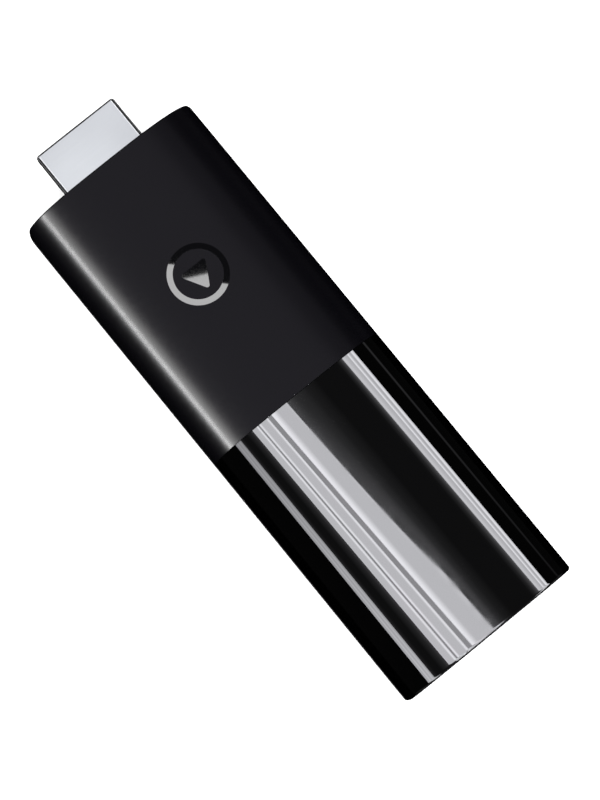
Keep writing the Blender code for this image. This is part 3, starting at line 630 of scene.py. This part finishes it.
def build_finishes():
    matte = principled("matte_charcoal", (0.0115, 0.0108, 0.0155), 0.25)
    grain = noise(matte, 9000.0, 4.0)
    tint(matte, grain, (0.0105, 0.0099, 0.0142), (0.0125, 0.0117, 0.0168))
    spread(matte, noise(matte, 1500.0), 0.235, 0.265, "Roughness")
    bump(matte, grain, 0.0007 * MM, 0.25)

    gloss = principled("gloss_black", (0.0022, 0.0022, 0.0026), 0.02)
    spread(gloss, noise(gloss, 260.0, 5.0), 0.012, 0.035, "Roughness")
    tint(gloss, noise(gloss, 700.0), (0.0020, 0.0020, 0.0024), (0.0025, 0.0025, 0.0029))

    foil_finish = principled("mark_foil", (0.0022, 0.0022, 0.0026), 0.02)
    spread(foil_finish, noise(foil_finish, 5000.0), 0.012, 0.028, "Roughness")

    plug = principled("plug_nickel", (0.78, 0.79, 0.81), 0.17, 1.0)
    tint(plug, noise(plug, 75.0, 1.0), (0.88, 0.89, 0.91), (0.72, 0.72, 0.745))
    brushed = noise(plug, 2600.0, 4.0, (0.05, 1, 1))
    spread(plug, brushed, 0.15, 0.20, "Roughness")
    bump(plug, brushed, 0.0004 * MM, 0.2)

    made = {"matte": matte, "gloss": gloss, "foil": foil_finish, "plug": plug}
    made["socket"] = grained("socket_steel", (0.60, 0.61, 0.62), 0.3, 1.0, 3000.0, (1, 0.1, 1))
    made["gold"] = grained("contact_gold", (0.83, 0.60, 0.25), 0.25, 1.0, 3000.0, (1, 0.1, 1), swing=0.08)
    made["connector_black"] = grained("connector_black", (0.020, 0.020, 0.021), 0.5, scale=7000.0)
    made["board"] = grained("solder_mask", (0.010, 0.075, 0.045), 0.32, scale=900.0, stretch=(1, 0.3, 1))
    made["chip_epoxy"] = grained("chip_epoxy", (0.028, 0.028, 0.030), 0.55, scale=8000.0)
    made["ferrite"] = grained("ferrite", (0.090, 0.090, 0.095), 0.65, scale=5000.0, depth=0.01)
    made["ceramic"] = grained("ceramic_body", (0.76, 0.74, 0.68), 0.45, scale=3000.0, swing=0.06)
    made["tantalum"] = grained("tantalum_case", (0.68, 0.41, 0.07), 0.5, scale=4000.0, swing=0.1)
    made["tinned_sheet"] = grained("tinned_sheet", (0.64, 0.64, 0.62), 0.3, 1.0, 1200.0, (1, 0.2, 1),
                                   swing=0.06)
    made["thermal_pad"] = grained("thermal_pad", (0.34, 0.41, 0.54), 0.85, scale=2500.0, depth=0.02)
    made["aluminium_sheet"] = grained("aluminium_sheet", (0.77, 0.78, 0.79), 0.32, 1.0, 1500.0,
                                      (1, 0.05, 1), swing=0.05)
    made["antenna_metal"] = grained("antenna_metal", (0.78, 0.61, 0.38), 0.3, 1.0, 2000.0, (0.1, 1, 1),
                                    swing=0.08)
    made["screw_steel"] = grained("screw_steel", (0.55, 0.55, 0.56), 0.3, 1.0, 3000.0, swing=0.1)
    made["light_pipe"] = grained("light_pipe_plastic", (0.80, 0.82, 0.84), 0.12, scale=2000.0, swing=0.03)
    made["led_package"] = grained("led_package", (0.82, 0.79, 0.60), 0.4, scale=4000.0, swing=0.06)
    return made


def dress_cad_nodes(finishes):
    """The nodes that keep their CAD shape get their record slot's finish and softened edges."""
    slots = {row["node"]: row["material_slot"] for row in frame["record"]["subparts"]}
    own = {"contact_gold": "gold", "plug_steel": "plug", "socket_steel": "socket"}
    for node, made in frame["nodes"].items():
        if made.hide_render:
            continue
        name = own.get(slots[node], slots[node])
        made.data.materials.clear()
        made.data.materials.append(finishes[name])
        low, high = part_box(node)
        thinnest = min(b - a for a, b in zip(low, high))
        if "screw" not in node and node != "light_pipe":
            round_edges(made, min(0.06 * MM, thinnest * 0.15))


# ---------- studio ----------

def receivers(name, objects):
    """A collection that lights can be linked to, so that they light only these objects."""
    group = bpy.data.collections.new(name)
    for made in objects:
        group.objects.link(made)
    return group


def strip(name, front, rear, stops, lit, fade=(1.0, 1.0), bow=(0.0, 0.0)):
    """A long light on the studio's cylinder. front and rear are its edges' angles in degrees at the two
    reference places along Y; stops are (place across, brightness) from the first edge to the second.
    The light changes along Y from the first to the second value of fade. bow is how many degrees each
    edge stands out at STRIP_BOW, between the two reference places."""
    slopes = [(f - r) / (STRIP_FRONT - STRIP_REAR) for f, r in zip(front, rear)]
    length = 2 * STRIP_KINK
    vertices, faces, places = [], [], []
    rows = (-STRIP_END, -STRIP_KINK, STRIP_REAR, STRIP_BOW, STRIP_FRONT, STRIP_KINK, STRIP_END)
    for y in rows:
        held = max(-STRIP_KINK, min(STRIP_KINK, y))
        out = 1.0 if y == STRIP_BOW else 0.0
        edges = [f + slope * (held - STRIP_FRONT) + out * b for f, slope, b in zip(front, slopes, bow)]
        for i in range(STRIP_STEPS + 1):
            part = i / STRIP_STEPS
            angle = math.radians(edges[0] + (edges[1] - edges[0]) * part)
            height = Z_SPLIT + STUDIO_RADIUS * math.cos(angle)
            vertices.append((STUDIO_RADIUS * math.sin(angle), y, height))
            places.append((part, (held + STRIP_KINK) / length))
    width = STRIP_STEPS + 1
    for row in range(len(rows) - 1):
        for i in range(STRIP_STEPS):
            a, b = row * width + i, (row + 1) * width + i
            faces.append((a, a + 1, b + 1, b))
    mesh_data = bpy.data.meshes.new(name)
    mesh_data.from_pydata(vertices, [], faces)
    layer = mesh_data.uv_layers.new(name="UVMap")
    for loop in mesh_data.loops:
        layer.data[loop.index].uv = places[loop.vertex_index]
    lamp = new_object(name, mesh_data)
    glow = bpy.data.materials.new(name)
    glow.use_nodes = True
    tree = glow.node_tree
    tree.nodes.clear()
    output = tree.nodes.new("ShaderNodeOutputMaterial")
    emission = tree.nodes.new("ShaderNodeEmission")
    spot = tree.nodes.new("ShaderNodeUVMap")
    split = tree.nodes.new("ShaderNodeSeparateXYZ")
    ramp = tree.nodes.new("ShaderNodeValToRGB")
    elements = ramp.color_ramp.elements
    while len(elements) < len(stops):
        elements.new(0.5)
    for element, (part, level) in zip(elements, stops):
        element.position = part
        element.color = (*(level * part for part in STRIP_TONE), 1.0)
    tree.links.new(spot.outputs["UV"], split.inputs[0])
    tree.links.new(split.outputs["X"], ramp.inputs["Fac"])
    tree.links.new(ramp.outputs["Color"], emission.inputs["Color"])
    change = tree.nodes.new("ShaderNodeMapRange")
    change.inputs["From Min"].default_value = (STRIP_FADE[0] + STRIP_KINK) / length
    change.inputs["From Max"].default_value = (STRIP_FADE[1] + STRIP_KINK) / length
    change.inputs["To Min"].default_value = fade[0] * FULL
    change.inputs["To Max"].default_value = fade[1] * FULL
    tree.links.new(split.outputs["Y"], change.inputs["Value"])
    tree.links.new(change.outputs["Result"], emission.inputs["Strength"])
    tree.links.new(emission.outputs[0], output.inputs["Surface"])
    mesh_data.materials.append(glow)
    lamp.visible_camera = False
    lamp.visible_shadow = False
    lamp.visible_diffuse = False
    lamp.light_linking.receiver_collection = lit


def panel(name, angle, size, radiance, lit, radius=PANEL_RADIUS, y=0.0, turn=0.0, matt=True,
          tone=(1.0, 1.0, 1.0)):
    """A rectangular area light that faces the stick from an angle off straight up, for the pieces in
    lit. turn rotates it in its own plane. Without matt it gives only reflections."""
    data = bpy.data.lights.new(name, "AREA")
    data.shape = "RECTANGLE"
    data.size, data.size_y = size
    data.energy = radiance * math.pi * size[0] * size[1]
    data.color = tone
    lamp = new_object(name, data)
    tilt = math.radians(angle)
    lamp.location = (radius * math.sin(tilt), y, Z_SPLIT + radius * math.cos(tilt))
    turned = Matrix.Rotation(tilt, 4, "Y") @ Matrix.Rotation(math.radians(turn), 4, "Z")
    lamp.rotation_euler = turned.to_euler()
    lamp.visible_camera = False
    lamp.visible_diffuse = matt
    lamp.light_linking.receiver_collection = lit


def build_studio():
    gloss = receivers("gloss_pieces", [o for o in made_objects if o.name.endswith("cover_gloss")])
    matte = receivers("matte_pieces", [o for o in made_objects if o.name.endswith("cover_matte")])
    mark = receivers("mark_pieces", [o for o in made_objects if o.name.startswith("mark")])
    rest = [o for o in made_objects if "cover" not in o.name and not o.name.startswith("mark")]
    rest += [o for o in frame["nodes"].values() if not o.hide_render]
    metal = receivers("other_pieces", rest)
    low_names = ("bottom_cover_matte", "bottom_cover_gloss", "power_socket", "light_pipe")
    under = receivers("low_pieces", [o for o in bpy.data.objects if o.name in low_names])

    mid = 0.75 * FACE + 0.25 * RIM
    strip("left_narrow", (-41.9, -31.5), (-42.6, -30.9),
          [(0, 0.7 * FACE), (0.2, 0.62 * FACE), (0.4, 0.85 * FACE), (0.55, 0.6 * FACE),
           (0.75, 0.8 * FACE), (1, 0.5 * FACE)], gloss, fade=(1.35, 0.75))
    strip("main_first", (-15.9, -10.7), (-13.0, -7.3),
          [(0, mid), (0.12, FACE), (0.7, FACE), (0.86, RIM), (1, mid)], gloss)
    strip("main_bar", (-10.7, -9.8), (-7.3, -6.4), [(0, FRAME), (1, FRAME)], gloss)
    strip("main_second", (-9.8, -3.9), (-6.4, -0.7),
          [(0, mid), (0.1, RIM), (0.25, FACE), (0.8, FACE), (0.92, RIM), (1, mid)], gloss)
    strip("main_frame", (-3.9, -2.0), (-0.7, 0.8), [(0, FRAME), (0.5, 1.1 * FRAME), (1, FRAME)], gloss)
    strip("main_third", (-2.0, 3.3), (0.8, 4.65),
          [(0, RIM), (0.15, RIM), (0.45, FACE), (0.93, FACE), (1, mid)], gloss, bow=(0.0, 0.2))
    strip("main_fall", (3.3, 10.0), (4.65, 11.0),
          [(0, 0.05), (0.06, 0.065), (0.18, 0.026), (0.34, 0.013), (0.75, DIM), (1, DIM)], gloss,
          bow=(0.2, 0.0))
    strip("left_dim", (-31.5, -15.9), (-30.9, -13.0),
          [(0, 0.02), (0.25, 1.08 * DIM), (0.6, DIM), (0.85, 0.018), (1, 0.045)], gloss)
    strip("right_dim", (10.0, 21.0), (11.0, 23.0), [(0, DIM), (0.8, DIM), (1, 0.006)], gloss)
    strip("right_glow", (21.0, 26.0), (23.0, 29.6),
          [(0, 0.006), (0.4, 0.018), (0.75, 0.05), (1, 0.11)], gloss)
    strip("right_band", (26.0, 40.4), (29.6, 42.9),
          [(0, FACE), (0.08, mid), (0.2, FACE), (0.38, 0.85 * FACE), (0.46, RIM), (0.56, FACE),
           (0.68, 0.75 * FACE), (0.82, RIM), (0.95, mid), (1, FACE)], gloss)
    strip("right_faint", (61.0, 68.5), (64.0, 72.0), [(0, 0), (0.5, 0.03), (1, 0)], gloss,
          fade=(0.3, 1.0))

    panel("matte_edge", -51.2, (0.055, 0.86), 33.0, matte, y=-0.225, matt=False)
    panel("matte_glow", -42.0, (0.15, 0.86), 3.9, matte, y=-0.20, matt=False)
    panel("matte_top", -7.0, (0.68, 1.2), 0.165, matte, tone=(1.04, 1.0, 1.15))
    panel("matte_side", 4.0, (0.96, 1.2), 0.155, matte, tone=(1.04, 1.0, 1.15))
    panel("metal_top", 0.0, (0.8, 0.96), 0.83, metal, tone=(0.98, 1.0, 1.035))
    for side in (-1, 1):
        panel(f"metal_rim_{side}", side * 31.0, (0.08, 1.2), 1.3, metal, matt=False)
    plug = receivers("plug_piece", [o for o in made_objects if o.name == "plug_shell"])
    for side in (-1, 1):
        panel(f"plug_side_{side}", side * 105.0, (0.16, 2.0), 0.32, plug, matt=False)
    panel("mark_top", -1.67, (0.9, 0.3), 10.8, mark, y=-0.026, turn=-25.5)
    for side in (-1, 1):
        strip(f"table_{side}", (side * 96, side * 165), (side * 96, side * 165),
              [(0, 0), (0.25, 0.02), (0.55, 0.035), (1, 0.008)], under)

    fill_world()


def fill_world():
    """White to the camera. Reflections see a dim room with a pale band round the horizon. The band is
    open at both sides of the stick, and above the horizon straight ahead of its plug."""
    world = bpy.data.worlds.new("studio")
    bpy.context.scene.world = world
    world.use_nodes = True
    world.cycles.sampling_method = "NONE"
    tree = world.node_tree
    tree.nodes.clear()

    def ranged(source, limits, from_level, to_level):
        change = tree.nodes.new("ShaderNodeMapRange")
        change.interpolation_type = "SMOOTHSTEP"
        change.inputs["From Min"].default_value = limits[0]
        change.inputs["From Max"].default_value = limits[1]
        change.inputs["To Min"].default_value = from_level
        change.inputs["To Max"].default_value = to_level
        tree.links.new(source, change.inputs["Value"])
        return change.outputs["Result"]

    def combine(operation, first, second):
        step = tree.nodes.new("ShaderNodeMath")
        step.operation = operation
        for socket, source in zip(step.inputs, (first, second)):
            if isinstance(source, float):
                socket.default_value = source
            else:
                tree.links.new(source, socket)
        return step.outputs[0]

    place = tree.nodes.new("ShaderNodeTexCoord")
    direction = tree.nodes.new("ShaderNodeSeparateXYZ")
    tree.links.new(place.outputs["Generated"], direction.inputs[0])
    along = combine("ABSOLUTE", direction.outputs["Y"], 0.0)
    ends = ranged(along, BAND_SIDES, 0.0, 1.0)
    above = ranged(direction.outputs["Z"], BAND_ABOVE, 1.0, 0.0)
    below = ranged(direction.outputs["Z"], BAND_BELOW, BAND_DEEP, 1.0)
    ahead = ranged(direction.outputs["Y"], BAND_AHEAD, 0.0, 1.0)
    upper = ranged(direction.outputs["Z"], BAND_HORIZON, 0.0, 1.0)
    kept = combine("SUBTRACT", 1.0, combine("MULTIPLY", ahead, upper))
    band = combine("MULTIPLY", combine("MULTIPLY", ends, above), combine("MULTIPLY", kept, below))
    strength = combine("ADD", combine("MULTIPLY", band, ROOM_BAND), ROOM_DIM)

    output = tree.nodes.new("ShaderNodeOutputWorld")
    seen = tree.nodes.new("ShaderNodeBackground")
    seen.inputs["Color"].default_value = (1.0, 1.0, 1.0, 1.0)
    room = tree.nodes.new("ShaderNodeBackground")
    room.inputs["Color"].default_value = (1.0, 1.0, 1.0, 1.0)
    tree.links.new(strength, room.inputs["Strength"])
    path = tree.nodes.new("ShaderNodeLightPath")
    choice = tree.nodes.new("ShaderNodeMixShader")
    tree.links.new(path.outputs["Is Camera Ray"], choice.inputs[0])
    tree.links.new(room.outputs[0], choice.inputs[1])
    tree.links.new(seen.outputs[0], choice.inputs[2])
    tree.links.new(choice.outputs[0], output.inputs["Surface"])


def build_floor():
    """A pale floor with a light of its own, which the stick neither reflects nor is lit by."""
    half, z = FLOOR_HALF, -FLOOR_DROP
    corners = [(-half, -half, z), (half, -half, z), (half, half, z), (-half, half, z)]
    mesh_data = bpy.data.meshes.new("floor")
    mesh_data.from_pydata(corners, [], [(0, 1, 2, 3)])
    floor = new_object("floor", mesh_data)
    paint = principled("pale_floor", (0.88, 0.88, 0.88), 0.9)
    mesh_data.materials.append(paint)
    floor.visible_glossy = False
    floor.visible_diffuse = False
    floor.visible_shadow = False
    lit = receivers("floor_only", [floor])
    panel("floor_light", 0.0, (2 * half, 2 * half), FLOOR_RADIANCE, lit, radius=half)


def build_camera():
    data = bpy.data.cameras.new("camera")
    data.lens = CAMERA_LENS
    data.sensor_width = CAMERA_SENSOR
    data.dof.use_dof = False
    data.clip_start = CAMERA_CLIP
    camera = new_object("camera", data)
    back = (CAMERA_AT - CAMERA_AIM).normalized()
    up = Vector((math.sin(CAMERA_ROLL), math.cos(CAMERA_ROLL), 0.0))
    right = up.cross(back).normalized()
    turned = Matrix((right, back.cross(right), back)).transposed().to_4x4()
    camera.matrix_world = Matrix.Translation(CAMERA_AT) @ turned
    bpy.context.scene.camera = camera


build_camera()
finishes = build_finishes()
build_housing(finishes)
build_seam_lip(finishes)
build_plug(finishes)
build_socket(finishes)
build_mark(finishes)
dress_cad_nodes(finishes)
build_studio()
build_floor()
bpy.context.scene.view_settings.view_transform = "Standard"
